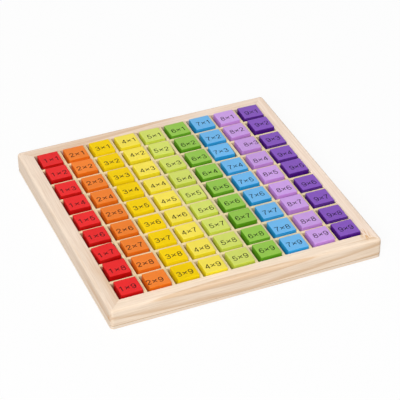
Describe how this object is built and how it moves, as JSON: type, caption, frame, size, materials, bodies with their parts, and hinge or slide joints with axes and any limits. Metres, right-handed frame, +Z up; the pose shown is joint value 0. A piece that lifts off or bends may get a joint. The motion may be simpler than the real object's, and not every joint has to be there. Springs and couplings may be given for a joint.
{
  "type": "multiplication tile board",
  "caption": "Square wooden board with a slatted grid of cells that hold loose painted tiles, each printed with a multiplication.",
  "frame": {"origin": "middle of the underside of the base panel, on the surface that the board stands on", "axes": "+X to the right along a row of tiles, +Y to the back row, +Z up"},
  "size_m": [0.2148, 0.2148, 0.0185],
  "materials": {
    "pine": "sanded, unvarnished",
    "plywood": "sanded, unvarnished",
    "slat_wood": "sawn, unvarnished",
    "red_paint": "satin paint on wood",
    "orange_paint": "satin paint on wood",
    "amber_paint": "satin paint on wood",
    "yellow_paint": "satin paint on wood",
    "lime_paint": "satin paint on wood",
    "green_paint": "satin paint on wood",
    "blue_paint": "satin paint on wood",
    "lilac_paint": "satin paint on wood",
    "purple_paint": "satin paint on wood"
  },
  "bodies": {
    "root": {"front_rail": "pine", "back_rail": "pine", "left_rail": "pine", "right_rail": "pine", "base_panel": "plywood", "lengthwise_slat_1": "slat_wood", "lengthwise_slat_2": "slat_wood", "lengthwise_slat_3": "slat_wood", "lengthwise_slat_4": "slat_wood", "lengthwise_slat_5": "slat_wood", "lengthwise_slat_6": "slat_wood", "lengthwise_slat_7": "slat_wood", "lengthwise_slat_8": "slat_wood", "crosswise_slat_1": "slat_wood", "crosswise_slat_2": "slat_wood", "crosswise_slat_3": "slat_wood", "crosswise_slat_4": "slat_wood", "crosswise_slat_5": "slat_wood", "crosswise_slat_6": "slat_wood", "crosswise_slat_7": "slat_wood", "crosswise_slat_8": "slat_wood", "red_tiles": "red_paint", "orange_tiles": "orange_paint", "amber_tiles": "amber_paint", "yellow_tiles": "yellow_paint", "lime_tiles": "lime_paint", "green_tiles": "green_paint", "blue_tiles": "blue_paint", "lilac_tiles": "lilac_paint", "purple_tiles": "purple_paint"}
  },
  "joints": []
}
